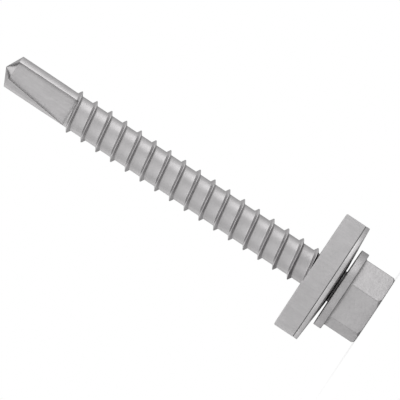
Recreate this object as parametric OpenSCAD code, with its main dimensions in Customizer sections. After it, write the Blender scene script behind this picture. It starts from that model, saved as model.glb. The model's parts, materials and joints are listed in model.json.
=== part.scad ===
// Self drilling roofing screw with a bonded sealing washer.
// It stands on its hex head: Z = 0 is the head's flat top, and +Z points to the drill point.

/* [Screw] */
// Reach from the flange's underside to the drill's tip
reach = 57.15; // [40:0.05:90]
// Diameter of the drill point and of the plain neck under the flange
drill_d = 5.14; // [4.9:0.02:5.4]

/* [Thread] */
// Outer diameter of the thread
thread_d = 6.25; // [5.9:0.05:6.6]
// Step from the plain neck or drill down to the bottom of the thread
root_step = 0.02; // [0.01:0.01:0.1]
// Distance from one crest to the next
pitch = 2.54; // [2:0.02:3.2]
// Width of the thread's ridge at its foot
ridge_w = 0.71; // [0.5:0.01:0.9]
// Width of the flat on the ridge's crest
crest_w = 0.06; // [0.03:0.01:0.15]
// Distance from the tip to the first full crest
first_crest = 11.13; // [10.6:0.01:14]
// Part of a turn over which the ridge rises, beside the drill point
run_in = 0.3; // [0.1:0.05:0.5]
// Part of a turn over which the ridge fades, inside the seal
run_out = 0.5; // [0.2:0.05:0.6]
// Flat facets in one turn of the thread
facets = 36; // [24:4:48]

/* [Drill point] */
// Angle of the tip's cone, across both sides
point_angle = 127; // [110:1:140]
// Distance from the tip to the end of the flutes
flute_reach = 11.4; // [9:0.05:12]
// Thickness of the web between the two flutes
web_t = 1.2; // [0.9:0.05:1.5]
// Distance from the axis to a flute's heel edge
heel_x = 1.63; // [1.3:0.01:1.9]
// Distance from the axis to a flute's cutting corner
lip_x = 1.29; // [1:0.01:1.6]
// Width of the land that is left beside the cutting wall at the flute's end
land_end = 0.05; // [0.02:0.01:0.5]
// Width of the chisel edge at the very tip
chisel_w = 0.16; // [0.05:0.01:0.4]

/* [Head] */
// Width across the hexagon's flats
head_af = 10; // [9:0.05:11]
// Height of the head, flange included
head_h = 6.35; // [5:0.05:8]
// Turn of the hexagon about the axis, from a corner on +X
head_turn = 44.7; // [0:0.1:60]
// Diameter of the round land on top of the hexagon
head_land_d = 10.6; // [10.1:0.05:11]
// Angle of the chamfer on the hexagon's corners, from the top face
head_chamfer = 40; // [20:1:50]
// Diameter of the flange
flange_d = 12.7; // [12:0.05:14]
// Thickness of the flange
flange_t = 1.27; // [0.8:0.01:2]
// Chamfer on the flange's edges
flange_edge = 0.08; // [0.04:0.01:0.2]

/* [Washer] */
// Outer diameter of the metal plate and of the seal
washer_d = 19.05; // [16:0.05:25]
// Thickness of the plate, along the axis
plate_t = 0.65; // [0.5:0.01:1]
// Height by which the plate is dished towards the flange
dish_h = 0.49; // [0.2:0.01:0.8]
// Diameter of the hole in the plate
plate_bore_d = 6.1; // [5.5:0.05:7.5]
// Gap between the plate and the flange, in which the washer turns
plate_gap = 0.25; // [0.1:0.01:0.4]
// Thickness of the seal at its rim
seal_t = 3.3; // [2:0.05:4]
// Gap between the thread's crest and the seal's hole
seal_gap = 0.12; // [0.08:0.01:0.4]
// Chamfer on the seal's outer edge, where it meets the roof sheet
seal_edge = 0.12; // [0.05:0.01:0.4]

/* [Hidden] */

steel = [0.70, 0.70, 0.71];
zinc = [0.74, 0.74, 0.75];
rubber = [0.42, 0.42, 0.43];

$fn = 96;
// Overlap that joins two solids, and distance by which a cut passes a face
lap = 0.5;

tip_z = head_h + reach;
drill_r = drill_d / 2;
root_r = drill_r - root_step;
thread_r = thread_d / 2;
cone_h = drill_r / tan(point_angle / 2);
shoulder_z = tip_z - cone_h;
flute_end_z = tip_z - flute_reach;

plate_bore_r = plate_bore_d / 2;
washer_r = washer_d / 2;
plate_bore_z = head_h + plate_gap;
plate_rim_z = plate_bore_z + dish_h;
dish_slope = dish_h / (washer_r - plate_bore_r);
seal_bore_r = thread_r + seal_gap;
seal_face_z = plate_rim_z + plate_t + seal_t;

// Places on the thread are counted in turns, from the first full crest, on +X, and fall towards the head.
// The ridge is full until one ridge's width above the seal's face.
crest_z = tip_z - first_crest;
ridge_start = run_in;
ridge_end = (seal_face_z - ridge_w - crest_z) / pitch - run_out;
first_step = floor(ridge_end * facets);
last_step = ceil(ridge_start * facets);
neck_end_z = crest_z + ridge_end * pitch - ridge_w;
drill_end_z = crest_z + ridge_start * pitch + ridge_w;

function smooth(x) = let(t = max(0, min(1, x))) t * t * (3 - 2 * t);

// Share of its full height that the ridge has at a turn
function ridge_share(turn) =
    smooth((ridge_start - turn) / run_in) * smooth((turn - ridge_end) / run_out);

// The ridge's four corners, from the foot nearest the head: height along the axis, and whether on the crest
function corner_rise(corner) = [-ridge_w, -crest_w, crest_w, ridge_w][corner] / 2;
function on_crest(corner) = corner == 1 || corner == 2;

function on_helix(step, corner) =
    let(turn = step / facets,
        crest = on_crest(corner) ? (thread_r - root_r) * ridge_share(turn) : 0,
        r = root_r + crest)
    [r * cos(360 * turn), r * sin(360 * turn), crest_z + turn * pitch + corner_rise(corner)];

function on_ring(step, z) = [root_r * cos(360 * step / facets), root_r * sin(360 * step / facets), z];

// Triangles from the first point of a loop to each of its other edges
function fan(loop) = [for (i = [1:len(loop) - 2]) [loop[0], loop[i], loop[i + 1]]];

// Root and ridge as one rod with flat ends. Strips join the ridge's corners from step to step, and bands of
// root join one turn to the next. A skirt at each end joins the helix to a level ring of points.
module threaded_rod() {
    helix_points = [for (s = [first_step:last_step], c = [0:3]) on_helix(s, c)];
    neck_ring = [for (j = [0:facets - 1]) on_ring(first_step + j, neck_end_z - lap)];
    drill_ring = [for (j = [0:facets - 1]) on_ring(last_step + j, drill_end_z + lap)];

    function at(step, corner) = 4 * (step - first_step) + corner;
    function neck_at(j) = len(helix_points) + j % facets;
    function drill_at(j) = len(helix_points) + facets + j % facets;
    // The last turn's first step, which has the same angle as the last step
    top_step = last_step - facets;

    strips = [for (s = [first_step:last_step - 1], c = [0:2])
        [at(s, c), at(s, c + 1), at(s + 1, c + 1), at(s + 1, c)]];
    bands = [for (s = [first_step:top_step - 1])
        [at(s, 3), at(s + facets, 0), at(s + facets + 1, 0), at(s + 1, 3)]];
    neck_skirt = [for (j = [0:facets - 2])
        [neck_at(j), at(first_step + j, 0), at(first_step + j + 1, 0), neck_at(j + 1)]];
    drill_skirt = [for (j = [1:facets - 1])
        [at(top_step + j, 3), drill_at(j), drill_at(j + 1), at(top_step + j + 1, 3)]];
    // Where the ridge starts and ends, the skirt's edge runs down its four corners
    neck_seam = [
        neck_at(facets - 1), at(first_step + facets - 1, 0), at(first_step + facets, 0),
        at(first_step, 3), at(first_step, 2), at(first_step, 1), at(first_step, 0), neck_at(0)];
    drill_seam = [
        drill_at(1), at(top_step + 1, 3), at(top_step, 3),
        at(last_step, 0), at(last_step, 1), at(last_step, 2), at(last_step, 3), drill_at(0)];

    polyhedron(
        concat(helix_points, neck_ring, drill_ring),
        concat(
            [for (q = concat(strips, bands, neck_skirt, drill_skirt)) each fan(q)],
            fan(neck_seam),
            fan(drill_seam),
            [[for (j = [0:facets - 1]) neck_at(j)]],
            [[for (j = [facets - 1:-1:0]) drill_at(j)]]));
}

module flange() {
    r = flange_d / 2;
    translate([0, 0, head_h - flange_t])
        rotate_extrude() polygon([
            [0, 0], [r - flange_edge, 0], [r, flange_edge],
            [r, flange_t - flange_edge], [r - flange_edge, flange_t], [0, flange_t]]);
}

// The chamfer is a cone that opens from the round land on the head's top
module hexagon() {
    land_r = head_land_d / 2;
    corner_r = head_af / 2 / cos(30);
    intersection() {
        rotate([0, 0, head_turn]) cylinder(h = head_h - flange_t + lap, r = corner_r, $fn = 6);
        cylinder(h = head_h, r1 = land_r, r2 = land_r + head_h / tan(head_chamfer));
    }
}

module neck() {
    translate([0, 0, head_h - lap]) cylinder(h = neck_end_z - head_h + lap, r = drill_r);
}

module drill_blank() {
    rotate_extrude() polygon([
        [0, drill_end_z], [drill_r, drill_end_z], [drill_r, shoulder_z], [0, tip_z]]);
}

// Outline of a flute seen square on, X across and Y along the axis
module flute_outline() {
    polygon([
        [heel_x, shoulder_z], [heel_x, flute_end_z],
        [land_end - drill_r, flute_end_z], [-lip_x, shoulder_z]]);
}

// Outline of the gash that thins the web to the chisel edge, with an edge from each corner to the tip
module gash_outline() {
    polygon([
        [heel_x, shoulder_z - lap], [-lip_x, shoulder_z - lap],
        [-lip_x, shoulder_z], [0, tip_z], [heel_x, shoulder_z]]);
}

// One flute, open to -Y: a flat floor on the web, steep walls, and the gash in front
module flute() {
    gash_angle = atan((web_t - chisel_w) / 2 / cone_h);
    side = 2 * thread_d;
    rotate([90, 0, 0])
        translate([0, 0, web_t / 2])
            linear_extrude(thread_r) flute_outline();
    intersection() {
        rotate([90, 0, 0]) linear_extrude(thread_r) gash_outline();
        translate([0, -web_t / 2, shoulder_z])
            rotate([-gash_angle, 0, 0])
                translate([-side / 2, -side, -side / 2]) cube(side);
    }
}

module screw() {
    color(steel) difference() {
        union() {
            hexagon();
            flange();
            neck();
            threaded_rod();
            drill_blank();
        }
        flute();
        rotate([0, 0, 180]) flute();
    }
}

// Thin dished washer with the same slope on both faces
module washer_plate() {
    color(zinc) rotate_extrude() polygon([
        [plate_bore_r, plate_bore_z], [washer_r, plate_rim_z],
        [washer_r, plate_rim_z + plate_t], [plate_bore_r, plate_bore_z + plate_t]]);
}

// Rubber ring that fills the hollow side of the plate
module washer_seal() {
    rim_z = plate_rim_z + plate_t;
    bore_z = rim_z - dish_slope * (washer_r - seal_bore_r);
    color(rubber) rotate_extrude() polygon([
        [seal_bore_r, bore_z], [washer_r, rim_z],
        [washer_r, seal_face_z - seal_edge], [washer_r - seal_edge, seal_face_z],
        [seal_bore_r, seal_face_z]]);
}

screw();
washer_plate();
washer_seal();
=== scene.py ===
"""A self drilling roofing screw with a bonded sealing washer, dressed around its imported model.

The screw stands on its hex head, with +Z towards the drill point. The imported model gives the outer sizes, and
the property groups hold the rest. Every length but the lens's is in metres, in the node trees too.
"""

import json
import math

import bmesh
import bpy
from bpy.props import FloatProperty, FloatVectorProperty, IntProperty, PointerProperty
from mathutils import Matrix, Vector


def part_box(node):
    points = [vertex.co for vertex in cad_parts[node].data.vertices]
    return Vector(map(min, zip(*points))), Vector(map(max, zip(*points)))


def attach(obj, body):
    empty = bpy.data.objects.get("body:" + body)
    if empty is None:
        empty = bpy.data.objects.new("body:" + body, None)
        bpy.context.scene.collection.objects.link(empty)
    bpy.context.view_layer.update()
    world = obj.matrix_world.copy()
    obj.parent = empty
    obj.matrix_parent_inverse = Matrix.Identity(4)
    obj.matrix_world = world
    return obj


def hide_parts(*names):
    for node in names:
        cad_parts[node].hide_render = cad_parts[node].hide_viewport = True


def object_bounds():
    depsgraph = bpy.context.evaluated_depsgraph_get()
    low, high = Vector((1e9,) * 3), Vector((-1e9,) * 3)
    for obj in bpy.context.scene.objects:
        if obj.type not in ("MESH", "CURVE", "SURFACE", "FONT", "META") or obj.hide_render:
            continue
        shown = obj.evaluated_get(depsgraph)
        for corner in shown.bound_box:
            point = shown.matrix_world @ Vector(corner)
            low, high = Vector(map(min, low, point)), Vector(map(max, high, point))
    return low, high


bl_info = {
    "name": "Self Drilling Screw",
    "version": (1, 0, 0),
    "blender": (4, 5, 0),
    "location": "3D View > Sidebar > Screw",
    "description": "Builds a hex head self drilling screw with its sealing washer around the packed model",
    "category": "Add Mesh",
}

# A millimetre, in metres
MM = 0.001

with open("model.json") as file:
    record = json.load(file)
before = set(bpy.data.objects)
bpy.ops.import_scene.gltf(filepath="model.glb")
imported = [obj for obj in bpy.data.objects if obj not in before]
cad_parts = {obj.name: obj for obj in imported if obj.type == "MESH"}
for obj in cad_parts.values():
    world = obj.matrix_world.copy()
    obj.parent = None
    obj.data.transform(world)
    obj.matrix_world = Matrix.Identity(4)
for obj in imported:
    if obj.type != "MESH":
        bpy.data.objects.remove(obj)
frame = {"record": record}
CAD_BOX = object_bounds()
SCREW_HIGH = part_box("screw")[1]
PLATE_LOW, PLATE_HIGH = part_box("washer_plate")
SEAL_LOW, SEAL_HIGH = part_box("washer_seal")
THREAD = next(mount for mount in frame["record"]["mounts"] if mount["name"] == "thread")

# Two points of a mesh that are nearer than this are one
SAME_POINT = 0.001 * MM
# Length by which the shank and the head reach into each other before they are joined
LAP = 0.5 * MM
# An edge that turns by more than this stays sharp
SHARP = math.radians(18)
# Most that an arc turns in one step, which is less than SHARP, so that it looks round
ARC_STEP = math.radians(15)
# Most of a side that the rounding of one of its ends takes up
SIDE_SHARE = 0.45
# The profile of a bevel that is round
ROUND_PROFILE = 0.5
# Angle at the axis from one corner of the hexagon to the next
SIXTH = math.tau / 6
# How strongly each finer layer of a noise shows, beside the one before it
NOISE_ROUGHNESS = 0.6
# Length of a streak, in its own widths
STREAK_LENGTH = 12
# Samples that look for near surfaces, and for edges, at each point that is shaded
SKY_SAMPLES, EDGE_SAMPLES = 16, 6
# Distance from node to node in the editor, across and down
NODE_SPACING = (200, 220)


def length(name, description, millimetres):
    """A length, given in millimetres and kept in metres."""
    return FloatProperty(name=name, description=description, default=millimetres * MM, precision=5,
                         unit="LENGTH")


def angle(name, description, degrees):
    """An angle, given in degrees and kept in radians."""
    return FloatProperty(name=name, description=description, default=math.radians(degrees), subtype="ANGLE")


def position(name, description, x, y, z):
    """A place, given in millimetres and kept in metres."""
    return FloatVectorProperty(name=name, description=description, default=(x * MM, y * MM, z * MM), size=3,
                               subtype="XYZ", unit="LENGTH")


def amount(name, description, share):
    """A plain number from 0 to 1."""
    return FloatProperty(name=name, description=description, default=share, min=0, max=1)


def count(name, description, number):
    """A whole number of columns or sides."""
    return IntProperty(name=name, description=description, default=number)


def power(name, description, watts):
    """The power of a lamp."""
    return FloatProperty(name=name, description=description, default=watts, min=0, unit="POWER")


def colour(name, description, red, green, blue):
    """A linear colour."""
    return FloatVectorProperty(name=name, description=description, default=(red, green, blue), size=3,
                               min=0, max=1, subtype="COLOR")


class ShankSizes(bpy.types.PropertyGroup):
    """The plain neck, the rolled thread and the round blank of the drill point."""

    drill_d: length("Drill diameter", "Diameter of the drill point and of the neck", 5.14)
    root_step: length("Root step", "Step from the neck down to the bottom of the thread", 0.02)
    root_blend: length("Root blend", "Length along the screw over which that step slopes", 1.2)
    thread_d: length("Thread diameter", "Outer diameter of the thread", 2 * THREAD["dims"]["r_mm"])
    pitch: length("Pitch", "Distance from one crest to the next", 2.54)
    ridge_w: length("Ridge width", "Width of the thread's ridge at its foot", 0.71)
    crest_w: length("Crest width", "Width of the flat on the ridge's crest", 0.06)
    foot_round: length("Foot rounding", "Radius where the ridge rises from the root", 0.16)
    crest_round: length("Crest rounding", "Radius on the two corners of the crest", 0.05)
    first_crest: length("First crest", "Distance from the tip to the first full crest", 11.13)
    run_in: amount("Run in", "Part of a turn over which the ridge rises", 0.3)
    run_out: amount("Run out", "Part of a turn over which the ridge fades", 0.5)
    columns: count("Columns", "Columns of faces round the shank", 112)


class PointSizes(bpy.types.PropertyGroup):
    """The drill point's cone and its two flutes."""

    point_angle: angle("Point angle", "Angle of the tip's cone, across both sides", 127)
    flute_reach: length("Flute reach", "Distance from the tip to the end of the flutes", 11.4)
    web_t: length("Web thickness", "Thickness of the web between the flutes", 1.2)
    heel_x: length("Heel", "Distance from the axis to a flute's heel edge", 1.63)
    lip_x: length("Lip", "Distance from the axis to a flute's cutting corner", 1.29)
    land_end: length("Land at the end", "Width of the land left beside the cutting wall", 0.05)
    chisel_w: length("Chisel width", "Width of the chisel edge at the very tip", 0.16)
    fillet: length("Flute fillet", "Radius between a flute's floor and its walls", 0.15)


class HeadSizes(bpy.types.PropertyGroup):
    """The hexagon and the round flange under it."""

    head_af: length("Across flats", "Width across the hexagon's flats", 10)
    head_h: length("Head height", "Height of the head, flange included", 6.35)
    head_turn: angle("Head turn", "Turn of the hexagon about the axis, from a corner on +X", 44.7)
    corner_round: length("Corner rounding", "Radius on the hexagon's six upright edges", 0.3)
    land_d: length("Land diameter", "Diameter of the round land on the head's top", 10.6)
    chamfer: angle("Chamfer", "Angle of the chamfer on the corners, from the top face", 40)
    edge_break: length("Edge break", "Height of the soft edge where the flats meet the top", 0.07)
    flange_t: length("Flange thickness", "Thickness of the flange", 1.27)
    edge_round: length("Edge rounding", "Radius on the edges of the flange and of the head's top", 0.12)
    root_round: length("Root rounding", "Radius in the corners under the hexagon and under the flange", 0.2)
    corner_columns: count("Corner columns", "Columns of faces round each corner of the hexagon", 6)
    flat_columns: count("Flat columns", "Columns of faces across each flat of the hexagon", 18)


class WasherSizes(bpy.types.PropertyGroup):
    """The dished metal plate and the rubber seal bonded to it."""

    plate_t: length("Plate thickness", "Thickness of the plate, along the axis", 0.65)
    plate_round: length("Plate rounding", "Radius on the plate's sheared edges", 0.09)
    plate_bore_d: length("Plate bore", "Diameter of the hole in the plate", 6.1)
    seal_gap: length("Seal gap", "Gap between the thread's crest and the seal's hole", 0.12)
    seal_round: length("Seal rounding", "Radius on the seal's edges", 0.16)
    columns: count("Columns", "Columns of faces round the washer", 160)


class Finish(bpy.types.PropertyGroup):
    """Colour, gloss, wear and painted crevice shade of the three materials."""

    steel: colour("Plated steel", "Zinc plated screw", 0.447, 0.438, 0.442)
    sheet: colour("Sheet metal", "Galvanised washer plate", 0.486, 0.477, 0.481)
    rubber: colour("Rubber", "Moulded seal", 0.49, 0.48, 0.485)
    steel_rough: amount("Steel roughness", "How dull the plating is", 0.42)
    sheet_rough: amount("Sheet roughness", "How dull the galvanised sheet is", 0.4)
    rubber_rough: amount("Rubber roughness", "How dull the rubber is", 0.75)
    least_rough: amount("Least roughness", "Roughness that no gloss goes below", 0.15)
    edge_tint: amount("Edge tint", "Brightness of the metal seen at a low angle", 0.5)
    mottle: amount("Mottle", "How uneven the colour and the gloss are", 0.18)
    mottle_rough: amount("Mottle roughness", "How much duller the lighter patches are", 0.35)
    patch_w: length("Patch width", "Width of the patches of uneven colour", 2)
    patch_share: amount("Patch share", "Share of the patches in the uneven colour, beside finer flecks", 0.7)
    fleck_w: length("Fleck width", "Width of the finer flecks of uneven colour", 0.4)
    # Painted shade: these darken the colour in crevices, where the surface hides part of its own sky, and make
    # them duller
    crevice_shade: amount("Crevices", "How much darker the crevices are", 0.6)
    crevice_rough: amount("Crevice roughness", "How much duller the crevices are", 0.15)
    crevice_reach: length("Crevice reach", "Distance over which a near surface darkens another", 0.6)
    crevice_start: amount("Crevice start", "Share of open sky at which a crevice starts to show", 0.9)
    crevice_full: amount("Crevice full", "Share of open sky at which a crevice shows in full", 0.35)
    worn_edge: amount("Worn edges", "How much lighter the worn edges are", 0.2)
    worn_gloss: amount("Worn gloss", "How much glossier the worn edges are", 0.08)
    worn_w: length("Worn width", "Width of the lighter band along an edge", 0.12)
    worn_start: amount("Wear start", "Cosine of the edge's turn at which wear starts to show", 0.99)
    worn_full: amount("Wear full", "Cosine of the edge's turn at which wear shows in full", 0.8)


class Marks(bpy.types.PropertyGroup):
    """Marks that the making of each piece leaves on it."""

    contrast: amount("Contrast", "How much the marks lighten and darken the colour", 0.22)
    fade: length("Fade", "Length over which one kind of mark gives way to the next", 0.6)
    roll_w: length("Rolling mark width", "Width of the marks along the thread", 0.06)
    roll_depth: length("Rolling mark depth", "Depth of the marks along the thread", 0.012)
    die_w: length("Die mark width", "Width of the marks along the drill point", 0.25)
    die_depth: length("Die mark depth", "Depth of the marks along the drill point", 0.012)
    forge_w: length("Forging dent width", "Width of the shallow dents on the head", 1.1)
    forge_depth: length("Forging dent depth", "Depth of the shallow dents on the head", 0.04)
    crest_light: amount("Crest brightness", "How much lighter the thread's crests are", 0.12)
    crest_gloss: amount("Crest gloss", "How much glossier the thread's crests are", 0.1)
    shear_w: length("Shear mark width", "Width of the marks on the plate's rim", 0.2)
    shear_depth: length("Shear mark depth", "Depth of the marks on the plate's rim", 0.012)
    shear_shade: amount("Shear shade", "Share of the contrast by which the plate's rim is darker", 0.5)
    crystal_w: length("Crystal width", "Width of the zinc crystals on the plate's faces", 1.8)
    crystal_share: amount("Crystal share", "Share of the contrast from crystal to crystal", 0.65)
    crystal_gloss: amount("Crystal gloss", "Difference in gloss from crystal to crystal", 0.08)
    cut_w: length("Cut mark width", "Width of the marks on the seal's rim", 0.4)
    cut_depth: length("Cut mark depth", "Depth of the marks on the seal's rim", 0.02)
    cut_share: amount("Cut mark share", "Share of the contrast from mark to mark on the seal's rim", 0.8)
    cut_shade: amount("Cut shade", "Share of the contrast by which the seal's rim is darker", 0.4)
    speck_w: length("Speck width", "Width of the dark specks in the rubber", 0.3)
    speck_shade: amount("Speck shade", "Share of the contrast by which a speck is darker", 0.6)
    speck_start: amount("Speck start", "Level of the specks' noise at which a speck starts to show", 0.66)
    speck_full: amount("Speck full", "Level of the specks' noise at which a speck shows in full", 0.74)
    metal_grain_w: length("Metal grain width", "Width of the grain of the zinc", 0.12)
    metal_grain_depth: length("Metal grain depth", "Depth of the grain of the zinc", 0.003)
    rubber_grain_w: length("Rubber grain width", "Width of the grain of the rubber", 0.16)
    rubber_grain_depth: length("Rubber grain depth", "Depth of the grain of the rubber", 0.012)


class StageSizes(bpy.types.PropertyGroup):
    """The camera, the lights and the floor."""

    lens: FloatProperty(name="Lens", description="Focal length in millimetres", default=1500)
    view_w: length("View width", "Width of the picture at the screw's axis", 57.43)
    view_x: length("View centre across", "Place across the axis that the camera looks at", -0.54)
    view_z: length("View centre along", "Place along the axis that the camera looks at", 29.72)
    roll: angle("Roll", "Angle by which the screw's axis runs down to the right in the picture", 33.62)
    clip_near: length("Near clip", "Distance from the camera at which it starts to see", 100)
    clip_far: length("Far clip", "Distance from the camera up to which it sees", 10000)
    world: FloatProperty(name="World level", description="Light from all around", default=0.62)
    key: power("Key light", "Power of the light beside the screw, at the picture's upper right", 1.0)
    key_place: position("Key place", "Middle of the key light", 560, -160, 220)
    key_w: length("Key width", "Width of the key light", 500)
    fill: power("Fill light", "Power of the light above the camera", 1.2)
    fill_place: position("Fill place", "Middle of the fill light", -220, -430, 420)
    fill_w: length("Fill width", "Width of the fill light", 800)
    back: power("Back light", "Power of the light behind the screw", 0.9)
    back_place: position("Back place", "Middle of the back light", -360, 480, 140)
    back_w: length("Back width", "Width of the back light", 600)
    paper: amount("Paper", "Lightness of the paper floor", 0.9)
    floor_r: length("Floor radius", "Radius of the paper floor", 600)
    floor_sides: count("Floor sides", "Straight sides that make up the floor's round edge", 96)
    shadow_r: length("Shadow radius", "Distance from the screw at which its shadow starts to fade out", 50)
    shadow_end: length("Shadow end", "Distance from the screw at which its shadow has faded out", 150)
    glow: amount("Glow", "Share of the paper's white, near the screw, that no shadow darkens", 0.45)
    glow_level: FloatProperty(name="Glow level", description="Brightness of that share, where 1 is white",
                              default=1.35)


class ScrewLooks(bpy.types.PropertyGroup):
    """Everything that the panel shows."""

    shank: PointerProperty(type=ShankSizes)
    point: PointerProperty(type=PointSizes)
    head: PointerProperty(type=HeadSizes)
    washer: PointerProperty(type=WasherSizes)
    finish: PointerProperty(type=Finish)
    marks: PointerProperty(type=Marks)
    stage: PointerProperty(type=StageSizes)


class Field:
    """A node's output that formulas can use. Each sign in a formula adds one Math node."""

    def __init__(self, wiring, socket):
        self.wiring = wiring
        self.socket = socket

    def __add__(self, other):
        return self.wiring.maths("ADD", self, other)

    def __sub__(self, other):
        return self.wiring.maths("SUBTRACT", self, other)

    def __mul__(self, other):
        return self.wiring.maths("MULTIPLY", self, other)

    def __truediv__(self, other):
        return self.wiring.maths("DIVIDE", self, other)

    def __rsub__(self, other):
        return self.wiring.maths("SUBTRACT", other, self)

    def __rtruediv__(self, other):
        return self.wiring.maths("DIVIDE", other, self)

    __radd__ = __add__


class Wiring:
    """Adds nodes to a tree. An input that is given another node's output is linked, and any other is set."""

    def __init__(self, tree):
        self.tree = tree

    def add(self, kind, inputs=(), **settings):
        node = self.tree.nodes.new(kind)
        for name, value in settings.items():
            setattr(node, name, value)
        self.feed(node, inputs)
        return node

    def feed(self, node, inputs):
        for key, value in dict(inputs).items():
            value = getattr(value, "socket", value)
            if isinstance(value, bpy.types.NodeSocket):
                self.tree.links.new(value, node.inputs[key])
            else:
                node.inputs[key].default_value = value

    def out(self, node, name=0):
        return Field(self, node.outputs[name])

    def maths(self, operation, *values):
        return self.out(self.add("ShaderNodeMath", enumerate(values), operation=operation))

    def ramp(self, value, start, end):
        """0 before start and 1 after end, with a smooth change between them."""
        inputs = {"Value": value, "From Min": start, "From Max": end}
        return self.out(self.add("ShaderNodeMapRange", inputs, interpolation_type="SMOOTHSTEP"))

    def apart(self, vector):
        node = self.add("ShaderNodeSeparateXYZ", {"Vector": vector})
        return [self.out(node, axis) for axis in "XYZ"]

    def together(self, x, y, z):
        return self.out(self.add("ShaderNodeCombineXYZ", {"X": x, "Y": y, "Z": z}))

    def noise(self, place, width, detail=2):
        """Noise from 0 to 1, about 0.5 on average, in patches of about this width."""
        inputs = {"Vector": place, "Scale": 1 / width, "Detail": detail, "Roughness": NOISE_ROUGHNESS}
        return self.out(self.add("ShaderNodeTexNoise", inputs, noise_dimensions="3D"))

    def streaks(self, place, width):
        """Noise in streaks along Z, each about this wide."""
        squeeze = (1, 1, 1 / STREAK_LENGTH)
        squeezed = self.add("ShaderNodeVectorMath", {0: place, 1: squeeze}, operation="MULTIPLY")
        return self.noise(self.out(squeezed), width)

    def arrange(self):
        """Puts each node in a column to the right of all that feed it."""
        depth = {node: 0 for node in self.tree.nodes}
        for _ in self.tree.nodes:
            for link in self.tree.links:
                depth[link.to_node] = max(depth[link.to_node], depth[link.from_node] + 1)
        across, down = NODE_SPACING
        rows = {}
        for node, column in depth.items():
            row = rows.get(column, 0)
            node.location = (column * across, -row * down)
            rows[column] = row + 1


def new_group(name, kind, inputs, outputs):
    """A node group whose sockets are given as {name: type}: its wiring, its inputs and its output node."""
    tree = bpy.data.node_groups.new(name, kind)
    for direction, sockets in (("INPUT", inputs), ("OUTPUT", outputs)):
        for socket, socket_type in sockets.items():
            tree.interface.new_socket(socket, in_out=direction, socket_type="NodeSocket" + socket_type)
    wiring = Wiring(tree)
    given = wiring.add("NodeGroupInput")
    return wiring, {name: wiring.out(given, name) for name in inputs}, wiring.add("NodeGroupOutput")


def rolled_shank_tree():
    """Nodes that roll a section of one pitch up a helix, into a closed rod with a conical tip.

    A grid has a column for each angle and a ring for each point of each pitch. A ring past an end of the rod
    stays on that end, and Merge by Distance makes all of those one. The end rings lie on the axis.
    """
    numbers = ("Pitch", "Crest Height", "Ridge Start", "Ridge End", "Run In", "Run Out", "Root Radius",
               "Blank Radius", "Root Blend", "Neck End", "Drill End", "Low End", "Shoulder", "Tip",
               "Same Point")
    inputs = {"Section": "Geometry", "Columns": "Int", "Material": "Material",
              **dict.fromkeys(numbers, "Float")}
    w, size, result = new_group("Rolled Shank", "GeometryNodeTree", inputs, {"Shank": "Geometry"})

    section_size = w.add("GeometryNodeAttributeDomainSize", {"Geometry": size["Section"]})
    points = w.out(section_size, "Point Count")
    turns_down = w.maths("CEIL", (size["Crest Height"] - size["Low End"]) / size["Pitch"] + 1)
    turns_up = w.maths("CEIL", (size["Shoulder"] - size["Crest Height"]) / size["Pitch"] + 1)
    rings = (turns_down + turns_up + 1) * points

    grid = w.add("GeometryNodeMeshGrid", {
        "Size X": size["Columns"], "Size Y": rings + 1,
        "Vertices X": size["Columns"] + 1, "Vertices Y": rings + 2})
    # The grid is centred on zero. Its rings are counted from -1, on the axis, to the one on the tip, and the
    # halves keep whole counts clear of rounding errors
    here = w.out(w.add("GeometryNodeInputPosition"))
    x, y, _ = w.apart(here)
    part_turn = x / size["Columns"] + 0.5
    ring = w.maths("ROUND", y + (rings - 1) / 2)
    lap = w.maths("FLOOR", (ring + 0.5) / points)
    sample = w.add("GeometryNodeSampleIndex", {
        "Geometry": size["Section"], "Value": here, "Index": w.maths("ROUND", ring - lap * points)},
        data_type="FLOAT_VECTOR")
    rise, _, along = w.apart(w.out(sample))

    turn = lap - turns_down + part_turn
    height = w.maths("MINIMUM", size["Crest Height"] + turn * size["Pitch"] + along, size["Shoulder"])
    height = w.maths("MAXIMUM", height, size["Low End"])
    above = w.maths("GREATER_THAN", ring, rings - 0.5)
    below = w.maths("LESS_THAN", ring, -0.5)

    share = w.ramp(turn, size["Ridge Start"], size["Ridge Start"] - size["Run In"])
    share = share * w.ramp(turn, size["Ridge End"], size["Ridge End"] + size["Run Out"])
    rolled = w.ramp(height, size["Neck End"] - size["Root Blend"], size["Neck End"])
    rolled = rolled * w.ramp(height, size["Drill End"] + size["Root Blend"], size["Drill End"])
    base = size["Blank Radius"] - (size["Blank Radius"] - size["Root Radius"]) * rolled
    radius = (base + rise * share) * (1 - above - below)
    height = height + (size["Tip"] - size["Shoulder"]) * above

    around = part_turn * math.tau
    place = w.together(radius * w.maths("COSINE", around), radius * w.maths("SINE", around), height)
    moved = w.add("GeometryNodeSetPosition", {"Geometry": w.out(grid), "Position": place})
    merged = w.add("GeometryNodeMergeByDistance", {"Geometry": w.out(moved), "Distance": size["Same Point"]})
    real = w.add("GeometryNodeRealizeInstances", {"Geometry": w.out(merged)})
    coated = w.add("GeometryNodeSetMaterial", {"Geometry": w.out(real), "Material": size["Material"]})
    w.feed(result, {"Shank": w.out(coated)})
    w.arrange()
    return w.tree


def rounded(before, corner, after, radius):
    """Points of the arc that rounds a corner, tangent to both sides."""
    back, ahead = before - corner, after - corner
    half = back.angle(ahead) / 2
    reach = min(radius / math.tan(half), SIDE_SHARE * back.length, SIDE_SHARE * ahead.length)
    if reach < SAME_POINT:
        return [corner]
    steps = math.ceil((math.pi - 2 * half) / ARC_STEP)
    back.normalize()
    ahead.normalize()
    centre = corner + (back + ahead).normalized() * reach / math.cos(half)
    start, end = corner + back * reach - centre, corner + ahead * reach - centre
    sweep = start.angle_signed(end)
    return [centre + Matrix.Rotation(-sweep * step / steps, 2) @ start for step in range(steps + 1)]


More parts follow.
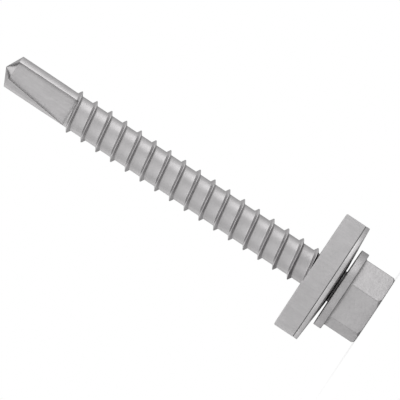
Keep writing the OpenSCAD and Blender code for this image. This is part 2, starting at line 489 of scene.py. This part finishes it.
def softened(corners, closed=False):
    """An outline whose corners, each given as (x, y, radius), are rounded. The ends of an open one stay."""
    spots = [Vector(corner[:2]) for corner in corners]
    outline = []
    for i, spot in enumerate(spots):
        if not closed and i in (0, len(spots) - 1):
            outline.append(spot)
            continue
        after = spots[(i + 1) % len(spots)]
        outline += rounded(spots[i - 1], spot, after, corners[i][2])
    return outline


def settle(obj):
    """Makes what the object's modifiers show its plain mesh, and removes them."""
    shown = obj.evaluated_get(bpy.context.evaluated_depsgraph_get())
    mesh = bpy.data.meshes.new_from_object(shown)
    obj.modifiers.clear()
    obj.data = mesh
    mesh.name = obj.name


def new_object(name, data):
    """A new object in the scene, from a mesh, a light or a camera."""
    obj = bpy.data.objects.new(name, data)
    bpy.context.scene.collection.objects.link(obj)
    return obj


def solid_from(bm, name):
    """A closed mesh object whose faces point outwards."""
    bmesh.ops.remove_doubles(bm, verts=bm.verts, dist=SAME_POINT)
    bmesh.ops.dissolve_degenerate(bm, edges=bm.edges, dist=SAME_POINT)
    bmesh.ops.recalc_face_normals(bm, faces=bm.faces)
    mesh = bpy.data.meshes.new(name)
    bm.to_mesh(mesh)
    bm.free()
    return new_object(name, mesh)


def wrapped(name, angles, outline_at, ring):
    """A solid round the Z axis.

    outline_at gives its outline at an angle, as (distance from the axis, height). The outline is a closed
    ring, or else it starts and ends on the axis.
    """
    bm = bmesh.new()
    loops = []
    for around in angles:
        direction = Vector((math.cos(around), math.sin(around), 0))
        outline = outline_at(around)
        loops.append([bm.verts.new(direction * out + Vector((0, 0, up))) for out, up in outline])
    for i, loop in enumerate(loops):
        following = loops[(i + 1) % len(loops)]
        for j in range(len(loop) if ring else len(loop) - 1):
            k = (j + 1) % len(loop)
            bm.faces.new((loop[j], following[j], following[k], loop[k]))
    return solid_from(bm, name)


def washer_ring(name, washer, corners, radius):
    """A piece of the washer whose outline, given as (distance from the axis, height), has rounded corners."""
    outline = softened([(out, up, radius) for out, up in corners], closed=True)
    angles = [math.tau * i / washer.columns for i in range(washer.columns)]
    return wrapped(name, angles, lambda around: outline, ring=True)


def combine(target, tool, operation):
    """Joins the tool to the target or cuts it away, and removes the tool."""
    before = len(target.data.vertices)
    modifier = target.modifiers.new(operation.title(), "BOOLEAN")
    modifier.operation = operation
    modifier.solver = "MANIFOLD"
    modifier.object = tool
    settle(target)
    if len(target.data.vertices) == before:
        raise RuntimeError(f"{operation} of {tool.name} changed nothing on {target.name}")
    bpy.data.objects.remove(tool)


def finish_surface(obj, material):
    """Gives the piece its material and smooth faces between its sharp edges."""
    bm = bmesh.new()
    bm.from_mesh(obj.data)
    bmesh.ops.remove_doubles(bm, verts=bm.verts, dist=SAME_POINT)
    for face in bm.faces:
        face.smooth = True
        face.material_index = 0
    for edge in bm.edges:
        edge.smooth = edge.calc_face_angle(0) < SHARP
    bm.to_mesh(obj.data)
    bm.free()
    obj.data.materials.clear()
    obj.data.materials.append(material)
    weighted = obj.modifiers.new("Flat Faces Stay Flat", "WEIGHTED_NORMAL")
    weighted.keep_sharp = True


def shank_radii(shank):
    """Radius of the blank, radius of the thread's root, and height of the ridge on it."""
    blank_r = shank.drill_d / 2
    root_r = blank_r - shank.root_step
    return blank_r, root_r, shank.thread_d / 2 - root_r


def cone_height(sizes):
    """Height of the tip's cone, which stands on the drill point's round blank."""
    return sizes.shank.drill_d / 2 / math.tan(sizes.point.point_angle / 2)


def rolled_shank(sizes, material):
    """Neck, thread and drill blank as one rolled rod. The object's own mesh is the section that is rolled."""
    shank = sizes.shank
    blank_r, root_r, ridge_h = shank_radii(shank)
    half_pitch, half_ridge, half_crest = shank.pitch / 2, shank.ridge_w / 2, shank.crest_w / 2
    section = softened([
        (0, -half_pitch, 0), (0, -half_ridge, shank.foot_round), (ridge_h, -half_crest, shank.crest_round),
        (ridge_h, half_crest, shank.crest_round), (0, half_ridge, shank.foot_round), (0, half_pitch, 0)])
    mesh = bpy.data.meshes.new("rolled_shank")
    # The last point is the next pitch's first
    mesh.from_pydata([(rise, 0, along) for rise, along in section[:-1]], [], [])
    rod = new_object("steel_screw", mesh)

    tip_z = SCREW_HIGH.z
    crest_z = tip_z - shank.first_crest
    ridge_end = (SEAL_HIGH.z - shank.ridge_w - crest_z) / shank.pitch - shank.run_out
    values = {
        "Pitch": shank.pitch, "Crest Height": crest_z, "Ridge Start": shank.run_in, "Ridge End": ridge_end,
        "Run In": shank.run_in, "Run Out": shank.run_out, "Root Radius": root_r, "Blank Radius": blank_r,
        "Root Blend": shank.root_blend, "Neck End": crest_z + ridge_end * shank.pitch - shank.ridge_w,
        "Drill End": crest_z + shank.run_in * shank.pitch + shank.ridge_w,
        "Low End": sizes.head.head_h - LAP, "Shoulder": tip_z - cone_height(sizes), "Tip": tip_z,
        "Same Point": SAME_POINT, "Columns": shank.columns, "Material": material}
    modifier = rod.modifiers.new("Rolled Shank", "NODES")
    modifier.node_group = rolled_shank_tree()
    for item in modifier.node_group.interface.items_tree:
        if item.in_out == "INPUT" and item.name in values:
            modifier[item.identifier] = values[item.name]
    settle(rod)
    return rod


def corner_centre(head):
    """Distance from the axis to the centre of the arc that rounds an upright edge of the hexagon."""
    return (head.head_af / 2 - head.corner_round) / math.cos(SIXTH / 2)


def corner_half_angle(head):
    """Angle at the axis from a corner of the hexagon to where its rounding ends."""
    return SIXTH / 2 - math.atan2(corner_centre(head) * math.sin(SIXTH / 2), head.head_af / 2)


def hexagon_distance(head, around):
    """Distance from the axis to the side of the hexagon, whose upright edges are rounded, at an angle."""
    from_corner = (around - head.head_turn + SIXTH / 2) % SIXTH - SIXTH / 2
    if abs(from_corner) < corner_half_angle(head):
        across = corner_centre(head) * math.sin(from_corner)
        along = corner_centre(head) * math.cos(from_corner)
        return along + math.sqrt(head.corner_round ** 2 - across ** 2)
    return head.head_af / 2 / math.cos(SIXTH / 2 - abs(from_corner))


def forged_head(sizes):
    """Hexagon and flange, with soft edges and a round chamfer on the six corners."""
    head = sizes.head
    neck_r = sizes.shank.drill_d / 2
    flange_r = SCREW_HIGH.x
    flange_z = head.head_h - head.flange_t
    slope = math.tan(head.chamfer)
    half = corner_half_angle(head)
    flat = SIXTH - 2 * half
    angles = []
    for side in range(6):
        corner = head.head_turn + side * SIXTH
        angles += [corner + half * (2 * i / head.corner_columns - 1) for i in range(head.corner_columns)]
        angles += [corner + half + flat * i / head.flat_columns for i in range(head.flat_columns)]

    def outline_at(around):
        out = hexagon_distance(head, around)
        drop = max(head.edge_break, (out - head.land_d / 2) * slope)
        return softened([
            (0, 0, 0), (out - drop / slope, 0, head.edge_round), (out, drop, head.edge_round),
            (out, flange_z, head.root_round), (flange_r, flange_z, head.edge_round),
            (flange_r, head.head_h, head.edge_round), (neck_r, head.head_h, head.root_round),
            (neck_r - head.root_round, head.head_h + LAP, 0), (0, head.head_h + LAP, 0)])

    return wrapped("forged_head", angles, outline_at, ring=False)


def flute_cutter(sizes, turn):
    """A prism that cuts one flute.

    A fillet joins its floor, which lies on the web, to every wall. Past the shoulder the floor slopes, and so
    thins the web towards the chisel edge.
    """
    shank, point = sizes.shank, sizes.point
    drill_r = shank.drill_d / 2
    tip_z = SCREW_HIGH.z
    cone_h = cone_height(sizes)
    shoulder_z = tip_z - cone_h
    end_z = tip_z - point.flute_reach
    outline = [
        (point.heel_x, end_z), (point.heel_x, shoulder_z), (0, tip_z), (-point.lip_x, shoulder_z),
        (point.land_end - drill_r, end_z)]

    bm = bmesh.new()
    floor = bm.faces.new([bm.verts.new((x, -point.web_t / 2, z)) for x, z in outline])
    mouth = bm.faces.new([bm.verts.new((x, -shank.thread_d, z)) for x, z in outline])
    for inner, outer in zip(floor.loops, mouth.loops):
        after, across = inner.link_loop_next, outer.link_loop_next
        bm.faces.new((inner.vert, after.vert, across.vert, outer.vert))
    quarter_steps = round(math.pi / 2 / ARC_STEP)
    bmesh.ops.bevel(bm, geom=floor.edges[:], offset=point.fillet, offset_type="OFFSET", affect="EDGES",
                    segments=quarter_steps, profile=ROUND_PROFILE, clamp_overlap=True)
    bmesh.ops.bisect_plane(bm, geom=bm.verts[:] + bm.edges[:] + bm.faces[:], dist=SAME_POINT,
                           plane_co=(0, 0, shoulder_z), plane_no=(0, 0, 1))
    gash_slope = (point.web_t - point.chisel_w) / 2 / cone_h
    for vert in bm.verts:
        vert.co.y += gash_slope * max(0, vert.co.z - shoulder_z)
    bmesh.ops.rotate(bm, verts=bm.verts, cent=(0, 0, 0), matrix=Matrix.Rotation(turn, 3, "Z"))
    return solid_from(bm, "flute_cutter")


def place_group():
    """Where a point of the surface is, for every material.

    Distance is from the screw's axis. Thread is a place on the rolled thread, for marks that run along it: it
    changes as fast as Place across the thread, and much more slowly along it.
    """
    outputs = {"Place": "Vector", "Height": "Float", "Distance": "Float", "Thread": "Vector"}
    w, size, result = new_group("Place On The Screw", "ShaderNodeTree", {"Pitch": "Float"}, outputs)
    pitch = size["Pitch"]
    speed_along = 0.02
    place = w.out(w.add("ShaderNodeTexCoord"), "Object")
    x, y, z = w.apart(place)
    phase = z / pitch * math.tau - w.maths("ARCTAN2", y, x)
    circle = w.together(w.maths("COSINE", phase), w.maths("SINE", phase), 0.0)
    across = w.add("ShaderNodeVectorMath", {0: circle, "Scale": pitch / math.tau}, operation="SCALE")
    slowed = w.add("ShaderNodeVectorMath", {0: place, "Scale": speed_along}, operation="SCALE")
    thread = w.add("ShaderNodeVectorMath", {0: w.out(across), 1: w.out(slowed)}, operation="ADD")
    distance = w.maths("SQRT", x * x + y * y)
    w.feed(result, {"Place": place, "Height": z, "Distance": distance, "Thread": w.out(thread)})
    w.arrange()
    return w.tree


def surface_group(finish):
    """Uneven colour and gloss, painted shade in crevices, lighter worn edges and a fine grain, for every
    material.

    Tone is a factor for the colour, and Gloss is taken from the roughness. Relief is a height.
    """
    numbers = ("Roughness", "Tone", "Gloss", "Relief", "Grain Width", "Grain Depth")
    inputs = {"Place": "Vector", "Color": "Color", **dict.fromkeys(numbers, "Float")}
    outputs = {"Color": "Color", "Roughness": "Float", "Normal": "Vector"}
    w, size, result = new_group("Worn Surface And Painted Shade", "ShaderNodeTree", inputs, outputs)

    patches = w.noise(size["Place"], finish.patch_w, detail=3)
    flecks = w.noise(size["Place"], finish.fleck_w)
    both = patches * finish.patch_share + flecks * (1 - finish.patch_share)
    uneven = (both - 0.5) * 2 * finish.mottle
    grain = w.noise(size["Place"], size["Grain Width"], detail=3)

    # Painted shade darkens a crevice, where the surface hides part of its own sky
    open_sky = w.add("ShaderNodeAmbientOcclusion", {"Distance": finish.crevice_reach}, samples=SKY_SAMPLES,
                     only_local=True)
    crevice_shade = w.ramp(w.out(open_sky, "AO"), finish.crevice_start, finish.crevice_full)
    # An edge is worn where rounding it would turn the surface
    rounded_normal = w.out(w.add("ShaderNodeBevel", {"Radius": finish.worn_w}, samples=EDGE_SAMPLES))
    true_normal = w.out(w.add("ShaderNodeNewGeometry"), "Normal")
    facing = w.add("ShaderNodeVectorMath", {0: rounded_normal, 1: true_normal}, operation="DOT_PRODUCT")
    edge = w.ramp(w.out(facing, "Value"), finish.worn_start, finish.worn_full) * (1 - crevice_shade)

    # The colour's tone: random patches, painted shade in crevices and lighter worn edges
    shade = (1 + uneven) * (1 - crevice_shade * finish.crevice_shade) * (1 + edge * finish.worn_edge) * size["Tone"]
    coloured = w.add("ShaderNodeVectorMath", {0: size["Color"], "Scale": shade}, operation="SCALE")
    dull = size["Roughness"] + uneven * finish.mottle_rough + crevice_shade * finish.crevice_rough
    dull = w.maths("MAXIMUM", dull - edge * finish.worn_gloss - size["Gloss"], finish.least_rough)
    relief = size["Relief"] + grain * size["Grain Depth"]
    bump = w.add("ShaderNodeBump", {"Height": relief, "Distance": 1.0, "Strength": 1.0})
    w.feed(result, {"Color": w.out(coloured), "Roughness": dull, "Normal": w.out(bump)})
    w.arrange()
    return w.tree


class Finishing:
    """A new material. Its marks are worked out from the places that it holds, and then close shades it."""

    def __init__(self, name, sizes):
        self.sizes = sizes
        self.material = bpy.data.materials.new(name)
        self.material.use_nodes = True
        self.w = Wiring(self.material.node_tree)
        tree = bpy.data.node_groups.get("Place On The Screw") or place_group()
        group = self.w.add("ShaderNodeGroup", {"Pitch": sizes.shank.pitch}, node_tree=tree)
        self.place, self.thread = self.w.out(group, "Place"), self.w.out(group, "Thread")
        self.height, self.distance = self.w.out(group, "Height"), self.w.out(group, "Distance")

    def close(self, colour, roughness, metal, own_values):
        """Feeds the shader from the surface group, which takes own_values too."""
        finish = self.sizes.finish
        tree = bpy.data.node_groups.get("Worn Surface And Painted Shade") or surface_group(finish)
        values = {"Place": self.place, "Color": (*colour, 1), "Roughness": roughness, **own_values}
        group = self.w.add("ShaderNodeGroup", values, node_tree=tree)
        shader = self.material.node_tree.nodes["Principled BSDF"]
        for socket, name in (("Base Color", "Color"), ("Roughness", "Roughness"), ("Normal", "Normal")):
            self.w.feed(shader, {socket: self.w.out(group, name)})
        if metal:
            tint = finish.edge_tint
            self.w.feed(shader, {"Metallic": 1.0, "Specular Tint": (tint, tint, tint, 1)})
        self.w.arrange()
        return self.material


def plated_steel(sizes):
    """Zinc plated steel: a forged head, a rolled thread with bright crests, and a pinched drill point."""
    finish, marks, shank = sizes.finish, sizes.marks, sizes.shank
    steel = Finishing("Zinc Plated Steel", sizes)
    w = steel.w
    head_end, flute_end = sizes.head.head_h, SCREW_HIGH.z - sizes.point.flute_reach
    on_head = w.ramp(steel.height, head_end + marks.fade, head_end)
    on_point = w.ramp(steel.height, flute_end - marks.fade, flute_end)
    on_shank = (1 - on_point) * (1 - on_head)
    # The ridge brightens from a third of the way up
    _, root_r, ridge_h = shank_radii(shank)
    on_crest = w.ramp(steel.distance, root_r + ridge_h / 3, root_r + ridge_h) * on_shank

    rolled = w.noise(steel.thread, marks.roll_w, detail=3)
    drawn = w.streaks(steel.place, marks.die_w)
    forged = w.noise(steel.place, marks.forge_w)
    relief = rolled * on_shank * marks.roll_depth + drawn * on_point * marks.die_depth
    relief = relief + forged * on_head * marks.forge_depth
    uneven = (rolled - 0.5) * on_shank + (drawn - 0.5) * on_point
    return steel.close(finish.steel, finish.steel_rough, True, {
        "Tone": 1 + uneven * marks.contrast + on_crest * marks.crest_light,
        "Gloss": on_crest * marks.crest_gloss, "Relief": relief,
        "Grain Width": marks.metal_grain_w, "Grain Depth": marks.metal_grain_depth})


def galvanised_sheet(sizes):
    """Galvanised sheet: zinc crystals on the faces, and shear marks on the cut rim."""
    finish, marks, soft = sizes.finish, sizes.marks, sizes.washer.plate_round
    sheet = Finishing("Galvanised Sheet", sizes)
    w = sheet.w
    on_rim = w.ramp(sheet.distance, PLATE_HIGH.x - soft, PLATE_HIGH.x - soft / 2)
    crystals = w.add("ShaderNodeTexVoronoi", {"Vector": sheet.place, "Scale": 1 / marks.crystal_w})
    crystal = (w.apart(w.out(crystals, "Color"))[0] - 0.5) * (1 - on_rim)
    sheared = w.streaks(sheet.place, marks.shear_w) * on_rim
    uneven = crystal * marks.crystal_share + sheared - on_rim * marks.shear_shade
    return sheet.close(finish.sheet, finish.sheet_rough, True, {
        "Tone": 1 + uneven * marks.contrast,
        "Gloss": crystal * marks.crystal_gloss, "Relief": sheared * marks.shear_depth,
        "Grain Width": marks.metal_grain_w, "Grain Depth": marks.metal_grain_depth})


def seal_rubber(sizes):
    """Moulded rubber: dry faces with dark specks, cut marks on the rim, and a dark line beside the plate."""
    finish, marks, soft = sizes.finish, sizes.marks, sizes.washer.seal_round
    seal = Finishing("Seal Rubber", sizes)
    w = seal.w
    on_rim = w.ramp(seal.distance, SEAL_HIGH.x - soft, SEAL_HIGH.x - soft / 2)
    # The rubber's rim is darker next to the plate, by as much as the painted crevice shade
    beside_plate = w.ramp(seal.height, PLATE_HIGH.z + soft, PLATE_HIGH.z + soft / 2) * on_rim
    speck = w.ramp(w.noise(seal.place, marks.speck_w), marks.speck_start, marks.speck_full)
    cut = w.streaks(seal.place, marks.cut_w) * on_rim
    uneven = cut * marks.cut_share - on_rim * marks.cut_shade - speck * marks.speck_shade
    return seal.close(finish.rubber, finish.rubber_rough, False, {
        "Tone": (1 + uneven * marks.contrast) * (1 - beside_plate * finish.crevice_shade), "Relief": cut * marks.cut_depth,
        "Grain Width": marks.rubber_grain_w, "Grain Depth": marks.rubber_grain_depth})


class DRILLSCREW_OT_screw(bpy.types.Operator):
    """Build the screw: head, flange, neck, thread and drill point in one piece"""

    bl_idname = "drillscrew.screw"
    bl_label = "Screw"

    def execute(self, context):
        sizes = context.scene.screw_looks
        material = plated_steel(sizes)
        screw = rolled_shank(sizes, material)
        combine(screw, forged_head(sizes), "UNION")
        for turn in (0, math.pi):
            combine(screw, flute_cutter(sizes, turn), "DIFFERENCE")
        finish_surface(screw, material)
        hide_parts("screw")
        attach(screw, "screw")
        return {"FINISHED"}


class DRILLSCREW_OT_plate(bpy.types.Operator):
    """Build the dished metal plate of the washer"""

    bl_idname = "drillscrew.plate"
    bl_label = "Washer Plate"

    def execute(self, context):
        sizes = context.scene.screw_looks
        washer = sizes.washer
        bore_r, rim_r = washer.plate_bore_d / 2, PLATE_HIGH.x
        bore_z, rim_z = PLATE_LOW.z, PLATE_HIGH.z - washer.plate_t
        corners = [(bore_r, bore_z), (rim_r, rim_z), (rim_r, PLATE_HIGH.z), (bore_r, bore_z + washer.plate_t)]
        plate = washer_ring("dished_plate", washer, corners, washer.plate_round)
        finish_surface(plate, galvanised_sheet(sizes))
        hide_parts("washer_plate")
        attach(plate, "washer")
        return {"FINISHED"}


class DRILLSCREW_OT_seal(bpy.types.Operator):
    """Build the rubber seal of the washer"""

    bl_idname = "drillscrew.seal"
    bl_label = "Washer Seal"

    def execute(self, context):
        sizes = context.scene.screw_looks
        washer = sizes.washer
        bore_r, rim_r = sizes.shank.thread_d / 2 + washer.seal_gap, SEAL_HIGH.x
        corners = [(bore_r, SEAL_LOW.z), (rim_r, PLATE_HIGH.z), (rim_r, SEAL_HIGH.z), (bore_r, SEAL_HIGH.z)]
        seal = washer_ring("rubber_seal", washer, corners, washer.seal_round)
        finish_surface(seal, seal_rubber(sizes))
        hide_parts("washer_seal")
        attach(seal, "washer")
        return {"FINISHED"}


def studio_world(level):
    """Even light from all around, at a level. The camera and the metal's reflections see it as white."""
    world = bpy.data.worlds.new("Studio")
    world.use_nodes = True
    world.node_tree.nodes.clear()
    w = Wiring(world.node_tree)
    path = w.add("ShaderNodeLightPath")
    seen = w.maths("MAXIMUM", w.out(path, "Is Camera Ray"), w.out(path, "Is Glossy Ray"))
    seen = w.maths("MAXIMUM", seen, w.out(path, "Is Transmission Ray"))
    light = w.add("ShaderNodeBackground", {"Color": (1, 1, 1, 1), "Strength": level})
    white = w.add("ShaderNodeBackground", {"Color": (1, 1, 1, 1), "Strength": 1.0})
    mixed = w.add("ShaderNodeMixShader", {0: seen, 1: w.out(light), 2: w.out(white)})
    w.add("ShaderNodeOutputWorld", {"Surface": w.out(mixed)})
    w.arrange()
    return world


def soft_box(name, place, width, watts):
    """A square studio light that faces the middle of the screw."""
    light = bpy.data.lights.new(name, "AREA")
    light.size = width
    light.energy = watts
    middle = (CAD_BOX[0] + CAD_BOX[1]) / 2
    box = new_object(name, light)
    box.location = place
    box.rotation_euler = (middle - Vector(place)).to_track_quat("-Z", "Y").to_euler()


def paper_floor(stage):
    """A round of white paper just under the screw.

    The camera sees its lit colour and a glow mixed, which are white together and grey in the screw's shadow.
    Further off it sees only the glow, so that the paper's edge doesn't show.
    """
    bm = bmesh.new()
    just_under = Matrix.Translation((0, 0, -SAME_POINT))
    bmesh.ops.create_circle(bm, cap_ends=True, segments=stage.floor_sides, radius=stage.floor_r,
                            matrix=just_under)
    mesh = bpy.data.meshes.new("floor")
    bm.to_mesh(mesh)
    bm.free()
    paper = bpy.data.materials.new("White Paper")
    paper.use_nodes = True
    paper.node_tree.nodes.clear()
    w = Wiring(paper.node_tree)
    x, y, _ = w.apart(w.out(w.add("ShaderNodeTexCoord"), "Object"))
    near = w.ramp(w.maths("SQRT", x * x + y * y), stage.shadow_end, stage.shadow_r)
    share = (1 - near * (1 - stage.glow)) * w.out(w.add("ShaderNodeLightPath"), "Is Camera Ray")
    level = 1 + near * (stage.glow_level - 1)
    lit = w.add("ShaderNodeBsdfDiffuse", {"Color": (stage.paper, stage.paper, stage.paper, 1)})
    glow = w.add("ShaderNodeEmission", {"Color": (1, 1, 1, 1), "Strength": level})
    mixed = w.add("ShaderNodeMixShader", {0: share, 1: w.out(lit), 2: w.out(glow)})
    w.add("ShaderNodeOutputMaterial", {"Surface": w.out(mixed)})
    w.arrange()
    mesh.materials.append(paper)
    return new_object("floor", mesh)


def side_camera(stage):
    """A far camera that looks along +Y, with the screw's axis turned in its picture."""
    camera = bpy.data.cameras.new("Camera")
    camera.lens = stage.lens
    camera.clip_start, camera.clip_end = stage.clip_near, stage.clip_far
    cos, sin = math.cos(stage.roll), math.sin(stage.roll)
    right, up, back = Vector((sin, 0, -cos)), Vector((cos, 0, sin)), Vector((0, -1, 0))
    turned = Matrix((right, up, back)).transposed().to_4x4()
    away = stage.view_w * camera.lens / camera.sensor_width
    place = Vector((stage.view_x, 0, stage.view_z)) + back * away
    eye = new_object("Camera", camera)
    eye.matrix_world = Matrix.Translation(place) @ turned
    return eye


class DRILLSCREW_OT_stage(bpy.types.Operator):
    """Add the floor, the lights and the camera"""

    bl_idname = "drillscrew.stage"
    bl_label = "Stage"

    def execute(self, context):
        scene = context.scene
        stage = scene.screw_looks.stage
        scene.view_settings.view_transform = "Standard"
        scene.world = studio_world(stage.world)
        # The camera sees these mirrored, in turn, in the hexagon's upper face, the drill point's slope and
        # the hexagon's lower face
        soft_box("Key Light", stage.key_place, stage.key_w, stage.key)
        soft_box("Fill Light", stage.fill_place, stage.fill_w, stage.fill)
        soft_box("Back Light", stage.back_place, stage.back_w, stage.back)
        paper_floor(stage)
        scene.camera = side_camera(stage)
        return {"FINISHED"}


class DRILLSCREW_PT_sidebar(bpy.types.Panel):
    """Sizes, colours and build steps of the screw"""

    bl_label = "Self Drilling Screw"
    bl_idname = "DRILLSCREW_PT_sidebar"
    bl_space_type = "VIEW_3D"
    bl_region_type = "UI"
    bl_category = "Screw"

    def draw(self, context):
        looks = context.scene.screw_looks
        for step in STEPS:
            self.layout.operator(step.bl_idname)
        for group in looks.__annotations__:
            box = self.layout.box()
            box.label(text=group.title())
            part = getattr(looks, group)
            for size in part.__annotations__:
                box.prop(part, size)


STEPS = (DRILLSCREW_OT_screw, DRILLSCREW_OT_plate, DRILLSCREW_OT_seal, DRILLSCREW_OT_stage)
GROUPS = (ShankSizes, PointSizes, HeadSizes, WasherSizes, Finish, Marks, StageSizes, ScrewLooks)


def register():
    for cls in (*GROUPS, *STEPS, DRILLSCREW_PT_sidebar):
        bpy.utils.register_class(cls)
    bpy.types.Scene.screw_looks = PointerProperty(type=ScrewLooks)


def unregister():
    del bpy.types.Scene.screw_looks
    for cls in reversed((*GROUPS, *STEPS, DRILLSCREW_PT_sidebar)):
        bpy.utils.unregister_class(cls)


def main():
    register()
    bpy.ops.drillscrew.screw()
    bpy.ops.drillscrew.plate()
    bpy.ops.drillscrew.seal()
    bpy.ops.drillscrew.stage()


if __name__ == "__main__":
    main()
